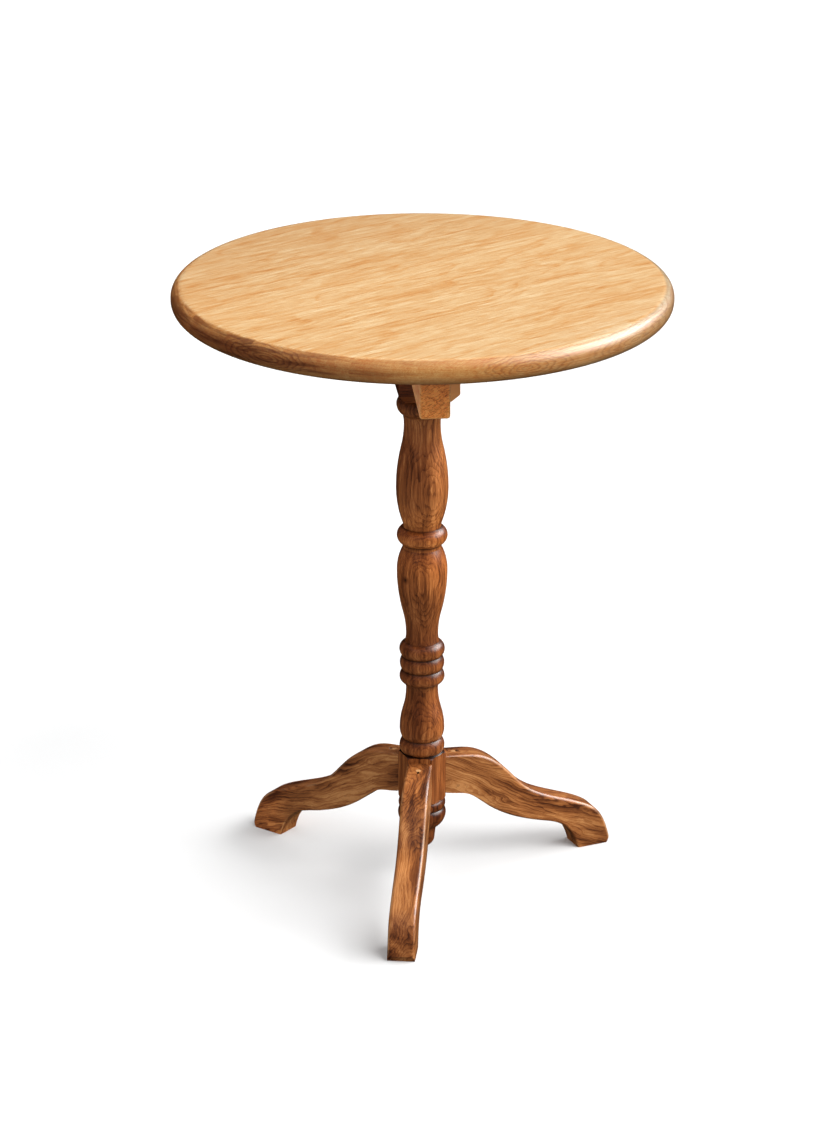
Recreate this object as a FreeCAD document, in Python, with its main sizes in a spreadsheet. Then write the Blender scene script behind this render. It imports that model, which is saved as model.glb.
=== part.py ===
import FreeCAD, Part
import math
import os
import Sketcher
from FreeCAD import Placement, Rotation, Vector

# A pedestal side table: a round edge-glued top on one deep bearer, a square head block,
# a turned post with a six-sided leg block, three curved legs and a turned drop under them.
# Lengths are millimetres and turns are degrees. The floor is level zero, the post stands
# on the vertical axis and the viewer of the photograph stands towards minus Y.

doc = FreeCAD.newDocument("pedestal_side_table")
sheet = doc.addObject("Spreadsheet::Sheet", "Sizes")

SIZES = [
    # Round top
    ("top_diameter", 500, "across the round top"),
    ("top_thickness", 25, "thickness of the top"),
    ("top_edge_radius", 11.5, "rounding of the rim, above and below"),
    ("grain_angle", 37, "turn of the boards from the left-to-right line"),
    # Bearer under the top
    ("bearer_length", 310, "length of the bearer"),
    ("bearer_width", 30, "width of the bearer"),
    ("bearer_depth", 65, "height of the bearer, which stands on edge"),
    ("bearer_rounding", 3, "rounding of the bearer's long edges"),
    ("bearer_angle", 4.6, "turn of the bearer from the front-to-back line"),
    # Square head block
    ("head_side", 62, "side of the square head block"),
    ("head_height", 28, "height of the head block"),
    ("head_bevel_inset", 8, "how far the bevel under the block cuts in"),
    ("head_bevel_height", 10, "height of that bevel"),
    ("head_rounding", 1.5, "rounding of the block's upright edges"),
    ("head_angle", 6, "turn of the head block"),
    ("head_shift", 4, "the block is glued on this far off the post's axis"),
    # Leg block, the six-sided foot of the post
    ("block_level", 86, "underside of the leg block above the floor"),
    ("block_flats", 42.8, "leg block, face to opposite face"),
    ("block_height", 52.5, "height of the leg block"),
    ("block_shoulder", 3, "turned rounding at both ends of the block"),
    # Ring over the leg block
    ("ring_gap", 0.7, "groove between block and ring"),
    ("ring_seat_radius", 20.6, "radius in that groove"),
    ("ring_low_rise", 7.3, "ring, groove to crest"),
    ("ring_radius", 23.3, "ring at its crest"),
    ("ring_high_rise", 8.5, "ring, crest to upper groove"),
    ("ring_top_radius", 20, "radius in the upper groove"),
    # Low vase
    ("low_vase_base_rise", 11, "low vase, groove to belly"),
    ("low_vase_radius", 23.1, "low vase at its belly"),
    ("low_vase_rise", 43.8, "low vase, belly to neck"),
    ("low_neck_radius", 16.5, "neck over the low vase"),
    ("low_neck_rise", 6.5, "low neck to the three rings"),
    # Three rings
    ("rings_edge_radius", 17.8, "radius where the three rings begin and end"),
    ("rings_low_rise", 7.2, "first of the three rings, edge to crest"),
    ("rings_low_radius", 23.2, "lowest of the three rings"),
    ("rings_half_pitch", 7.6, "groove to crest between the rings"),
    ("rings_groove_radius", 20.3, "radius in the two grooves"),
    ("rings_middle_radius", 22.9, "middle ring"),
    ("rings_high_radius", 23.4, "highest of the three rings"),
    ("rings_high_rise", 8.3, "last ring, crest to edge"),
    # Middle vase
    ("middle_neck_rise", 8.3, "rings to the neck over them"),
    ("middle_neck_radius", 16.5, "neck under the middle vase"),
    ("middle_vase_rise", 70.5, "middle vase, neck to belly"),
    ("middle_vase_radius", 25.9, "middle vase at its belly"),
    ("middle_vase_top_rise", 24.6, "middle vase, belly to groove"),
    ("middle_vase_top_radius", 20, "radius where the middle vase ends"),
    # Round bead between the vases
    ("bead_quirk", 3.6, "flat strip on each side of the bead"),
    ("bead_quirk_radius", 19.7, "radius of those strips"),
    ("bead_half_height", 9.4, "bead, edge to crest"),
    ("bead_radius", 25.9, "bead at its crest"),
    # High vase
    ("high_vase_base_rise", 38.7, "high vase, groove to belly"),
    ("high_vase_radius", 26.7, "high vase at its belly"),
    ("high_vase_rise", 67.7, "high vase, belly to neck"),
    ("high_neck_radius", 18.6, "neck over the high vase"),
    ("high_neck_rise", 9.8, "high neck to the step"),
    ("step_radius", 19.8, "radius under the small step"),
    ("step_rise", 1.5, "height of the step"),
    ("step_top_radius", 21, "radius over the step"),
    # Cap bead and tenon
    ("cap_low_rise", 10, "cap bead, step to crest"),
    ("cap_radius", 26.2, "cap bead at its crest"),
    ("cap_high_rise", 8.5, "cap bead, crest to shoulder"),
    ("cap_shoulder_radius", 21.5, "shoulder that carries the head block"),
    ("tenon_diameter", 18, "round tenon through block and bearer"),
    ("tenon_short", 1, "the tenon stops this far under the top"),
    ("wedge_thickness", 3, "wedge in the tenon, at its top"),
    ("wedge_tip", 1, "wedge at its thin end"),
    ("wedge_depth", 28, "how far the wedge is driven in"),
    # Drop under the leg block
    ("drop_lip_radius", 22.8, "drop where it meets the leg block"),
    ("drop_bead_high_rise", 4.6, "upper bead of the drop, top to crest"),
    ("drop_bead_radius", 24.4, "upper bead at its crest"),
    ("drop_bead_low_rise", 5.2, "upper bead, crest to groove"),
    ("drop_groove_radius", 22.6, "groove under that bead"),
    ("drop_bowl_high_rise", 5.4, "bowl of the drop, groove to crest"),
    ("drop_bowl_radius", 24.9, "bowl at its crest"),
    ("drop_bowl_low_rise", 16, "bowl, crest to its foot"),
    ("drop_bowl_foot_radius", 15.2, "bowl at its foot"),
    ("drop_step_rise", 2.4, "small hollow under the bowl"),
    ("drop_plug_radius", 14.4, "upper end of the plug"),
    ("drop_plug_rise", 10, "tapered part of the plug"),
    ("drop_plug_low_radius", 13.2, "lower end of the tapered part"),
    ("drop_end_rise", 11, "rounded end of the plug"),
    ("drop_tip_radius", 3, "flat at the very tip"),
    ("spigot_diameter", 12, "spigot of the drop in the leg block"),
    ("spigot_length", 22, "length of that spigot"),
    # Legs
    ("leg_angle", 5.7, "turn of the front leg towards the viewer's left"),
    ("leg_reach", 213, "toe of each leg from the post's axis"),
    ("leg_height", 133, "top of each leg above the floor"),
    ("leg_width", 28, "thickness of a leg"),
    ("leg_cheek_length", 58, "stretch over which a leg narrows to its face"),
    ("leg_top_rounding", 4, "rounding along the upper edges"),
    ("leg_under_rounding", 2, "rounding along the lower edges"),
    ("key_depth", 8, "dovetail key behind each leg"),
    ("key_neck", 10, "dovetail key at the block's face"),
    ("key_root", 13, "dovetail key at its root"),
    ("key_height", 40, "height of the dovetail key"),
    # Nails through the legs
    ("nail_out", 16.6, "nail hole from the block's face"),
    ("nail_down", 3, "nail hole under the top of the leg"),
    ("nail_angle", 30, "fall of a nail towards the post"),
    ("nail_diameter", 2.6, "shank of a nail"),
    ("nail_sunk", 3, "depth of a nail's head under the wood"),
    ("nail_length", 31, "length of a nail with its point"),
    ("nail_point", 4, "length of that point"),
    # Screws
    ("screw_diameter", 4.5, "shank of a wood screw"),
    ("screw_head_diameter", 8.5, "head of a wood screw"),
    ("screw_head_height", 3, "height of the flat-sided head"),
    ("screw_tip", 6, "length of a screw's tip"),
    ("screw_well_diameter", 10, "deep well that a screw's head stands in"),
    ("top_screw_near", 40, "inner screws into the top, from the axis"),
    ("top_screw_far", 115, "outer screws into the top, from the axis"),
    ("top_screw_grip", 15, "depth of those screws in the top"),
    ("top_screw_web", 20, "bearer wood under the top that they hold"),
    ("head_screw_out", 20, "screws into the head block, from the axis"),
    ("head_screw_grip", 20, "depth of those screws in the block"),
    ("head_screw_web", 20, "bearer wood over the block that they hold"),
    # Fits
    ("joint_gap", 0.15, "clearance round keys, tenons and spigots"),
    ("metal_gap", 0.05, "clearance round nails and screws"),
    ("overrun", 5, "how far a cutting shape passes the wood"),
]

for row, (alias, amount, meaning) in enumerate(SIZES, start=1):
    sheet.set(f"A{row}", meaning)
    sheet.set(f"B{row}", str(amount))
    sheet.setAlias(f"B{row}", alias)
doc.recompute()

NAMES = {alias for alias, amount, meaning in SIZES}


def bound(text):
    """Write each size's name in a formula as a reference to its cell."""
    out = []
    word = ""
    for letter in text + " ":
        if letter.isalnum() or letter == "_":
            word += letter
            continue
        out.append(f"Sizes.{word}" if word in NAMES else word)
        out.append(letter)
        word = ""
    return "".join(out).strip()


def value(text):
    """Work out a formula in the named sizes."""
    return float(sheet.evalExpression(bound(text)))


def total(parts):
    return " + ".join(f"({part})" for part in parts)


def drive(thing, path, text):
    thing.setExpression(path, bound(text))


def new_body(label, level="0", turn="0"):
    body = doc.addObject("PartDesign::Body", label)
    body.Label = label
    drive(body, "Placement.Base.z", level)
    drive(body, "Placement.Rotation.Angle", turn)
    return body


def own_plane(body, role):
    return next(item for item in body.Origin.OriginFeatures if item.Role == role)


def new_sketch(body, name, role, level="0", turn="0"):
    """A sketch on one of the body's own planes, lifted and turned about that plane's normal."""
    sketch = body.newObject("Sketcher::SketchObject", name)
    sketch.AttachmentSupport = [(own_plane(body, role), "")]
    sketch.MapMode = "FlatFace"
    drive(sketch, "AttachmentOffset.Base.z", level)
    drive(sketch, "AttachmentOffset.Rotation.Angle", turn)
    return sketch


def hold(sketch, kind, first, second, text):
    """Keep a signed distance between two points of a sketch equal to a formula."""
    index = sketch.addConstraint(Sketcher.Constraint(kind, *first, *second, value(text)))
    drive(sketch, f"Constraints[{index}]", text)


ORIGIN = (-1, 1)


def pin_point(sketch, point, across, up):
    hold(sketch, "DistanceX", ORIGIN, point, across)
    hold(sketch, "DistanceY", ORIGIN, point, up)


def add_polygon(sketch, corners):
    """A closed outline of straight lines through corners given as formulas."""
    places = [Vector(value(across), value(up), 0) for across, up in corners]
    lines = []
    for start, end in zip(places, places[1:] + places[:1]):
        lines.append(sketch.addGeometry(Part.LineSegment(start, end), False))
    for index, line in enumerate(lines):
        sketch.addConstraint(Sketcher.Constraint("Coincident", lines[index - 1], 2, line, 1))
        pin_point(sketch, (line, 1), *corners[index])


def add_rectangle(sketch, across, up):
    """A rectangle between two formulas each way, given as pairs."""
    corners = [(across[0], up[0]), (across[1], up[0]), (across[1], up[1]), (across[0], up[1])]
    add_polygon(sketch, corners)


def add_circle(sketch, across, up, radius):
    centre = Vector(value(across), value(up), 0)
    circle = sketch.addGeometry(Part.Circle(centre, Vector(0, 0, 1), value(radius)), False)
    pin_point(sketch, (circle, 3), across, up)
    index = sketch.addConstraint(Sketcher.Constraint("Radius", circle, value(radius)))
    drive(sketch, f"Constraints[{index}]", radius)


def add_spline(sketch, poles):
    """A smooth curve whose poles are held by formulas. Its two ends can be joined on to."""
    places = [Vector(value(across), value(up), 0) for across, up in poles]
    curve = sketch.addGeometry(Part.BSplineCurve(places, None, None, False, 3, None, False), False)
    sketch.exposeInternalGeometry(curve)
    for index, (across, up) in enumerate(poles):
        pin_point(sketch, (curve + 1 + index, 3), across, up)
    return curve


def arc_between(low, high, crest):
    """The arc through two points whose centre is level with the crest, one of the two."""
    other = high if crest is low else low
    side = crest.x - other.x
    radius = ((crest.y - other.y) ** 2 + side ** 2) / (2 * side)
    centre = Vector(crest.x - radius, crest.y, 0)
    angles = [math.atan2(point.y - centre.y, point.x - centre.x) for point in (low, high)]
    bulges = radius > 0
    if not bulges:
        angles.reverse()
    circle = Part.Circle(centre, Vector(0, 0, 1), abs(radius))
    return Part.ArcOfCircle(circle, angles[0], angles[1]), bulges


def add_turning(sketch, stations):
    """A closed half outline of a turned piece, from its lowest point on the axis upwards.

    Each station is how it is reached, its rise over the one before it and its radius. It is
    reached by a straight line, by an arc whose crest is here ("to crest") or at the station
    before it ("from crest"), or by two arcs in an S between two crests ("ogee"), where a
    share says how much of the way the first arc takes.
    """
    steps = []
    for station in stations:
        how, rise, radius = station[:3]
        if how != "ogee":
            steps.append((how, rise, radius))
            continue
        share = station[3]
        before = steps[-1][2]
        between = f"({before}) + (({radius}) - ({before})) * {share}"
        steps.append(("from crest", f"({rise}) * {share}", between))
        steps.append(("to crest", f"({rise}) * (1 - {share})", radius))
    places = []
    level = 0
    for how, rise, radius in steps:
        level += value(rise)
        places.append(Vector(value(radius), level, 0))
    ends = []
    for index in range(1, len(steps)):
        low, high = places[index - 1], places[index]
        how, rise, radius = steps[index]
        if how == "line":
            piece, upright = Part.LineSegment(low, high), True
        else:
            piece, upright = arc_between(low, high, high if how == "to crest" else low)
        geometry = sketch.addGeometry(piece, False)
        low_end, high_end = ((geometry, 1), (geometry, 2)) if upright else ((geometry, 2), (geometry, 1))
        if how != "line":
            crest = high_end if how == "to crest" else low_end
            sketch.addConstraint(Sketcher.Constraint("Horizontal", geometry, 3, *crest))
        ends.append((low_end, high_end))
    axis = sketch.addGeometry(Part.LineSegment(places[-1], places[0]), False)
    ends.append(((axis, 1), (axis, 2)))
    for before, after in zip(ends, ends[1:]):
        sketch.addConstraint(Sketcher.Constraint("Coincident", *before[1], *after[0]))
    sketch.addConstraint(Sketcher.Constraint("Coincident", *ends[-1][1], *ends[0][0]))
    pin_point(sketch, ends[0][0], "0", "0")
    for index in range(1, len(steps)):
        how, rise, radius = steps[index]
        hold(sketch, "DistanceY", *ends[index - 1], rise)
        hold(sketch, "DistanceX", ORIGIN, ends[index - 1][1], radius)


def revolve(body, name, sketch):
    turned = body.newObject("PartDesign::Revolution", name)
    turned.Profile = sketch
    turned.ReferenceAxis = (sketch, ["V_Axis"])
    turned.Angle = 360
    doc.recompute()
    return turned


def pad(body, name, sketch, length, middle=False):
    raised = body.newObject("PartDesign::Pad", name)
    raised.Profile = sketch
    drive(raised, "Length", length)
    raised.Midplane = middle
    doc.recompute()
    return raised


def pocket(body, name, sketch, length, middle=False, reverse=False):
    """Cut a sketch's outline out of the body, and make sure that wood was taken away."""
    before = body.Shape.Volume
    cut = body.newObject("PartDesign::Pocket", name)
    cut.Profile = sketch
    drive(cut, "Length", length)
    cut.Midplane = middle
    cut.Reversed = reverse
    doc.recompute()
    if not cut.Shape.Volume < before:
        raise ValueError(f"{name} cuts nothing")
    return cut


def round_edges(body, name, base, radius, wanted):
    """Round the edges of a feature that a test picks out."""
    names = [f"Edge{index}" for index, edge in enumerate(base.Shape.Edges, start=1) if wanted(edge)]
    rounded = body.newObject("PartDesign::Fillet", name)
    rounded.Base = (base, names)
    drive(rounded, "Radius", radius)
    doc.recompute()
    return rounded


def runs_along(edge, axis):
    """True for a straight edge along an axis."""
    if not isinstance(edge.Curve, Part.Line):
        return False
    return abs(abs(edge.Curve.Direction.dot(axis)) - 1) < ALIGNED


ALIGNED = 1e-6
ACROSS_AXIS = Vector(1, 0, 0)
DEPTH_AXIS = Vector(0, 1, 0)
UP_AXIS = Vector(0, 0, 1)

# Derived sizes, each a formula in the named ones
BLOCK_SIDES = 6
BLOCK_FACE = "block_flats / 2"
# One side of a six-sided block is also the distance of its corners from the axis
BLOCK_SIDE = "block_flats / sqrt(3)"
SHOULDER_RADIUS = f"{BLOCK_SIDE} - block_shoulder"
# How much of an S curve the arc that starts it takes
LOW_VASE_SHARE = 0.5
MIDDLE_VASE_SHARE = 0.35
HIGH_VASE_SHARE = 0.65

POST_STATIONS = [
    ("line", "0", "0"),
    ("line", "0", SHOULDER_RADIUS),
    ("to crest", "block_shoulder", BLOCK_SIDE),
    ("line", "block_height - 2 * block_shoulder", BLOCK_SIDE),
    ("from crest", "block_shoulder", SHOULDER_RADIUS),
    ("line", "ring_gap", "ring_seat_radius"),
    ("to crest", "ring_low_rise", "ring_radius"),
    ("from crest", "ring_high_rise", "ring_top_radius"),
    ("to crest", "low_vase_base_rise", "low_vase_radius"),
    ("ogee", "low_vase_rise", "low_neck_radius", LOW_VASE_SHARE),
    ("from crest", "low_neck_rise", "rings_edge_radius"),
    ("to crest", "rings_low_rise", "rings_low_radius"),
    ("from crest", "rings_half_pitch", "rings_groove_radius"),
    ("to crest", "rings_half_pitch", "rings_middle_radius"),
    ("from crest", "rings_half_pitch", "rings_groove_radius"),
    ("to crest", "rings_half_pitch", "rings_high_radius"),
    ("from crest", "rings_high_rise", "rings_edge_radius"),
    ("to crest", "middle_neck_rise", "middle_neck_radius"),
    ("ogee", "middle_vase_rise", "middle_vase_radius", MIDDLE_VASE_SHARE),
    ("from crest", "middle_vase_top_rise", "middle_vase_top_radius"),
    ("line", "bead_quirk", "bead_quirk_radius"),
    ("to crest", "bead_half_height", "bead_radius"),
    ("from crest", "bead_half_height", "bead_quirk_radius"),
    ("line", "bead_quirk", "bead_quirk_radius"),
    ("to crest", "high_vase_base_rise", "high_vase_radius"),
    ("ogee", "high_vase_rise", "high_neck_radius", HIGH_VASE_SHARE),
    ("from crest", "high_neck_rise", "step_radius"),
    ("line", "step_rise", "step_top_radius"),
    ("to crest", "cap_low_rise", "cap_radius"),
    ("from crest", "cap_high_rise", "cap_shoulder_radius"),
]

# Levels above the floor, from the leg block up
SHOULDER_RISE = total(rise for how, rise, *rest in POST_STATIONS)
HEAD_LEVEL = f"block_level + {SHOULDER_RISE}"
BEARER_LEVEL = f"{HEAD_LEVEL} + head_height"
TOP_LEVEL = f"{BEARER_LEVEL} + bearer_depth"
TENON_LENGTH = "head_height + bearer_depth - tenon_short"
TENON_TOP = f"{SHOULDER_RISE} + {TENON_LENGTH}"
BEARER_BEARING = "bearer_angle - 90"
LEG_BEARING = "-90 - leg_angle"

# Round top: five boards glued edge to edge, each a strip of the same rounded disc
BOARD_COUNT = 5
TOP_RADIUS = "top_diameter / 2"
BOARD_WIDTH = f"top_diameter / {BOARD_COUNT}"


def add_rim_outline(sketch):
    """Half section of the top, with its upper and lower edges rounded."""
    flat = f"{TOP_RADIUS} - top_edge_radius"
    upper = "top_thickness - top_edge_radius"
    corners = [("0", "0"), (flat, "0"), (TOP_RADIUS, "top_edge_radius"),
               (TOP_RADIUS, upper), (flat, "top_thickness"), ("0", "top_thickness")]
    places = [Vector(value(across), value(up), 0) for across, up in corners]
    lines = [sketch.addGeometry(Part.LineSegment(places[start], places[end]), False)
             for start, end in ((0, 1), (2, 3), (4, 5), (5, 0))]
    radius = value("top_edge_radius")
    arcs = []
    for centre, first in ((places[1] + Vector(0, radius, 0), -90), (places[4] - Vector(0, radius, 0), 0)):
        circle = Part.Circle(centre, Vector(0, 0, 1), radius)
        arc = Part.ArcOfCircle(circle, math.radians(first), math.radians(first + 90))
        arcs.append(sketch.addGeometry(arc, False))
    order = [lines[0], arcs[0], lines[1], arcs[1], lines[2], lines[3]]
    for before, after in zip(order, order[1:] + order[:1]):
        sketch.addConstraint(Sketcher.Constraint("Coincident", before, 2, after, 1))
    for piece, corner in zip(order, corners):
        pin_point(sketch, (piece, 1), *corner)
    for arc, end in zip(arcs, (1, 2)):
        sketch.addConstraint(Sketcher.Constraint("Vertical", arc, 3, arc, end))


def screw_places():
    """Where the four top screws stand along the bearer, from the axis."""
    return [(sign, place) for place in ("top_screw_near", "top_screw_far") for sign in ("", "-")]


def make_board(number):
    body = new_body(f"top_board_{number}", TOP_LEVEL, "grain_angle")
    outline = new_sketch(body, f"rim_section_{number}", "XZ_Plane")
    add_rim_outline(outline)
    revolve(body, f"rim_{number}", outline)
    low = f"-{TOP_RADIUS} + {BOARD_WIDTH} * {number - 1}"
    high = f"-{TOP_RADIUS} + {BOARD_WIDTH} * {number}"
    beyond = f"{TOP_RADIUS} + overrun"
    trim = new_sketch(body, f"board_edges_{number}", "XY_Plane")
    if number > 1:
        add_rectangle(trim, (f"-({beyond})", beyond), (f"-({beyond})", low))
    if number < BOARD_COUNT:
        add_rectangle(trim, (f"-({beyond})", beyond), (high, beyond))
    pocket(body, f"strip_{number}", trim, "top_thickness + overrun", reverse=True)
    # pilot holes for the screws that stand under this board
    across = math.sin(math.radians(value(f"{BEARER_BEARING} - grain_angle")))
    reach = value("screw_diameter / 2 + metal_gap")
    holes = new_sketch(body, f"screw_marks_{number}", "XY_Plane", turn=f"{BEARER_BEARING} - grain_angle")
    here = [f"{sign}{place}" for sign, place in screw_places()
            if value(low) - reach < across * value(f"{sign}{place}") < value(high) + reach]
    for place in here:
        add_circle(holes, place, "0", "screw_diameter / 2 + metal_gap")
    if here:
        pocket(body, f"screw_holes_{number}", holes, "top_screw_grip + joint_gap", reverse=True)
    else:
        doc.removeObject(holes.Name)


for number in range(1, BOARD_COUNT + 1):
    make_board(number)

# Bearer: one deep batten on edge, drilled through for the post's tenon. Deep wells from
# below take the screws into the top, and wells from above those into the head block
bearer = new_body("bearer", BEARER_LEVEL, BEARER_BEARING)
plan = new_sketch(bearer, "bearer_plan", "XY_Plane")
add_rectangle(plan, ("-bearer_length / 2", "bearer_length / 2"), ("-bearer_width / 2", "bearer_width / 2"))
batten = pad(bearer, "batten", plan, "bearer_depth")
round_edges(bearer, "eased_batten", batten, "bearer_rounding",
            lambda edge: not runs_along(edge, DEPTH_AXIS) or edge.CenterOfMass.z < value("bearer_depth") / 2)
mortise = new_sketch(bearer, "mortise_plan", "XY_Plane")
add_circle(mortise, "0", "0", "tenon_diameter / 2 + joint_gap")
pocket(bearer, "mortise", mortise, "bearer_depth + overrun", reverse=True)
shanks = new_sketch(bearer, "shank_plan", "XY_Plane")
top_wells = new_sketch(bearer, "low_well_plan", "XY_Plane")
for sign, place in screw_places():
    add_circle(shanks, f"{sign}{place}", "0", "screw_diameter / 2 + metal_gap")
    add_circle(top_wells, f"{sign}{place}", "0", "screw_well_diameter / 2")
head_wells = new_sketch(bearer, "high_well_plan", "XY_Plane", level="head_screw_web")
for sign in ("", "-"):
    add_circle(shanks, f"{sign}head_screw_out", "0", "screw_diameter / 2 + metal_gap")
    add_circle(head_wells, f"{sign}head_screw_out", "0", "screw_well_diameter / 2")
pocket(bearer, "shank_holes", shanks, "bearer_depth + overrun", reverse=True)
pocket(bearer, "low_wells", top_wells, "bearer_depth - top_screw_web", reverse=True)
pocket(bearer, "high_wells", head_wells, "bearer_depth", reverse=True)

# Head block: a square block with a bevel all round its underside, glued over the tenon
head = new_body("head_block", HEAD_LEVEL, "head_angle")
drive(head, "Placement.Base.x", "head_shift")
half_head = "head_side / 2"
half_foot = "head_side / 2 - head_bevel_inset"
foot_plan = new_sketch(head, "bevel_foot", "XY_Plane")
add_rectangle(foot_plan, (f"-({half_foot})", half_foot), (f"-({half_foot})", half_foot))
head_plan = new_sketch(head, "block_plan", "XY_Plane", level="head_bevel_height")
add_rectangle(head_plan, (f"-{half_head}", half_head), (f"-{half_head}", half_head))
bevel = head.newObject("PartDesign::AdditiveLoft", "bevel")
bevel.Profile = foot_plan
bevel.Sections = [head_plan]
bevel.Ruled = True
doc.recompute()
square = pad(head, "square", head_plan, "head_height - head_bevel_height")
round_edges(head, "eased_square", square, "head_rounding", lambda edge: runs_along(edge, UP_AXIS))
head_holes = new_sketch(head, "tenon_hole_plan", "XY_Plane")
shift_across = "-head_shift * cos(head_angle)"
shift_up = "head_shift * sin(head_angle)"
add_circle(head_holes, shift_across, shift_up, "tenon_diameter / 2 + joint_gap")
pocket(head, "tenon_hole", head_holes, "head_height + overrun", reverse=True)
screw_marks = new_sketch(head, "head_screw_plan", "XY_Plane", level="head_height")
for sign in ("", "-"):
    across = f"{shift_across} {sign or '+'} head_screw_out * cos({BEARER_BEARING} - head_angle)"
    up = f"{shift_up} {sign or '+'} head_screw_out * sin({BEARER_BEARING} - head_angle)"
    add_circle(screw_marks, across, up, "screw_diameter / 2 + metal_gap")
pocket(head, "head_screw_holes", screw_marks, "head_screw_grip + joint_gap")

# Post: turned in one piece from the leg block to the tenon, then the block is cut six-sided,
# housed for the three dovetail keys, and bored for the drop's spigot and the nails
LEGS = ("leg_front", "leg_right", "leg_left")
post = new_body("post", "block_level", LEG_BEARING)
half_post = new_sketch(post, "post_half", "XZ_Plane")
add_turning(half_post, POST_STATIONS + [
    ("line", "0", "tenon_diameter / 2"),
    ("line", TENON_LENGTH, "tenon_diameter / 2"),
    ("line", "0", "0"),
])
revolve(post, "turning", half_post)
faces = new_sketch(post, "block_faces", "XY_Plane")
add_circle(faces, "0", "0", f"{BLOCK_SIDE} + overrun")
corner_turns = [f"360 / {BLOCK_SIDES} * ({corner} + 1 / 2)" for corner in range(BLOCK_SIDES)]
add_polygon(faces, [(f"{BLOCK_SIDE} * cos({turn})", f"{BLOCK_SIDE} * sin({turn})") for turn in corner_turns])
pocket(post, "six_faces", faces, "block_height", reverse=True)
KEY_BACK = f"{BLOCK_FACE} - key_depth - joint_gap"
housing = new_sketch(post, "housing_plan", "XY_Plane")
slant = "(key_root - key_neck) / 2 / key_depth"
add_polygon(housing, [
    (KEY_BACK, f"-key_root / 2 - joint_gap * (1 + {slant})"),
    (f"{BLOCK_FACE} + overrun", f"-key_neck / 2 - joint_gap + overrun * {slant}"),
    (f"{BLOCK_FACE} + overrun", f"key_neck / 2 + joint_gap - overrun * {slant}"),
    (KEY_BACK, f"key_root / 2 + joint_gap * (1 + {slant})"),
])
one_housing = pocket(post, "housing", housing, "key_height + joint_gap", reverse=True)


def around_post(name, feature):
    """Repeat a cut for each leg."""
    turns = post.newObject("PartDesign::PolarPattern", name)
    turns.Originals = [feature]
    turns.Axis = (half_post, ["V_Axis"])
    turns.Angle = 360
    turns.Occurrences = len(LEGS)
    post.Tip = turns
    doc.recompute()
    return turns


around_post("housings", one_housing)
bore = new_sketch(post, "spigot_plan", "XY_Plane")
add_circle(bore, "0", "0", "spigot_diameter / 2 + joint_gap")
pocket(post, "spigot_bore", bore, "spigot_length + joint_gap", reverse=True)


NAIL_LEVEL = "leg_height - nail_down"
NAIL_LEAN = "rotation(vector(0; 1; 0); -90 - nail_angle)"


def nail_hole(body, level):
    """A round hole for a nail, falling towards the post from above a leg's upper edge."""
    hole = body.newObject("PartDesign::SubtractiveCylinder", f"{body.Label}_nail_hole")
    hole.AttachmentSupport = [(own_plane(body, "XY_Plane"), "")]
    hole.MapMode = "FlatFace"
    drive(hole, "Radius", "nail_diameter / 2 + metal_gap")
    drive(hole, "Height", "nail_sunk + nail_length + joint_gap + overrun")
    out = f"{BLOCK_FACE} + nail_out + overrun * cos(nail_angle)"
    drive(hole, "AttachmentOffset",
          f"placement(vector({out}; 0; {level} + overrun * sin(nail_angle)); {NAIL_LEAN})")
    doc.recompute()
    return hole


around_post("nail_holes", nail_hole(post, f"{NAIL_LEVEL} - block_level"))
# the tenon is split at its top for the wedge
split = new_sketch(post, "split_outline", "YZ_Plane")
WEDGE_OUTLINE = [
    ("-wedge_tip / 2", f"{TENON_TOP} - wedge_depth"),
    ("wedge_tip / 2", f"{TENON_TOP} - wedge_depth"),
    ("wedge_thickness / 2", TENON_TOP),
    ("-wedge_thickness / 2", TENON_TOP),
]
add_polygon(split, WEDGE_OUTLINE)
pocket(post, "split", split, "tenon_diameter + overrun", middle=True)

# Wedge that spreads the tenon in the bearer
wedge = new_body("tenon_wedge", "block_level", LEG_BEARING)
wedge_side = new_sketch(wedge, "wedge_side", "YZ_Plane")
add_polygon(wedge_side, WEDGE_OUTLINE)
pad(wedge, "wedge_taper", wedge_side,
    "2 * sqrt(pow(tenon_diameter / 2; 2) - pow(wedge_thickness / 2; 2))", middle=True)

# Drop: a separate turning under the leg block that closes the housings
DROP_STATIONS = [
    ("line", "0", "0"),
    ("line", "0", "drop_tip_radius"),
    ("to crest", "drop_end_rise", "drop_plug_low_radius"),
    ("line", "drop_plug_rise", "drop_plug_radius"),
    ("line", "drop_step_rise", "drop_bowl_foot_radius"),
    ("to crest", "drop_bowl_low_rise", "drop_bowl_radius"),
    ("from crest", "drop_bowl_high_rise", "drop_groove_radius"),
    ("to crest", "drop_bead_low_rise", "drop_bead_radius"),
    ("from crest", "drop_bead_high_rise", "drop_lip_radius"),
]
DROP_RISE = total(rise for how, rise, radius in DROP_STATIONS)
drop = new_body("drop_finial", f"block_level - ({DROP_RISE})", LEG_BEARING)
half_drop = new_sketch(drop, "drop_half", "XZ_Plane")
add_turning(half_drop, DROP_STATIONS + [
    ("line", "0", "spigot_diameter / 2"),
    ("line", "spigot_length", "spigot_diameter / 2"),
    ("line", "0", "0"),
])
revolve(drop, "drop_turning", half_drop)

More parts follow.
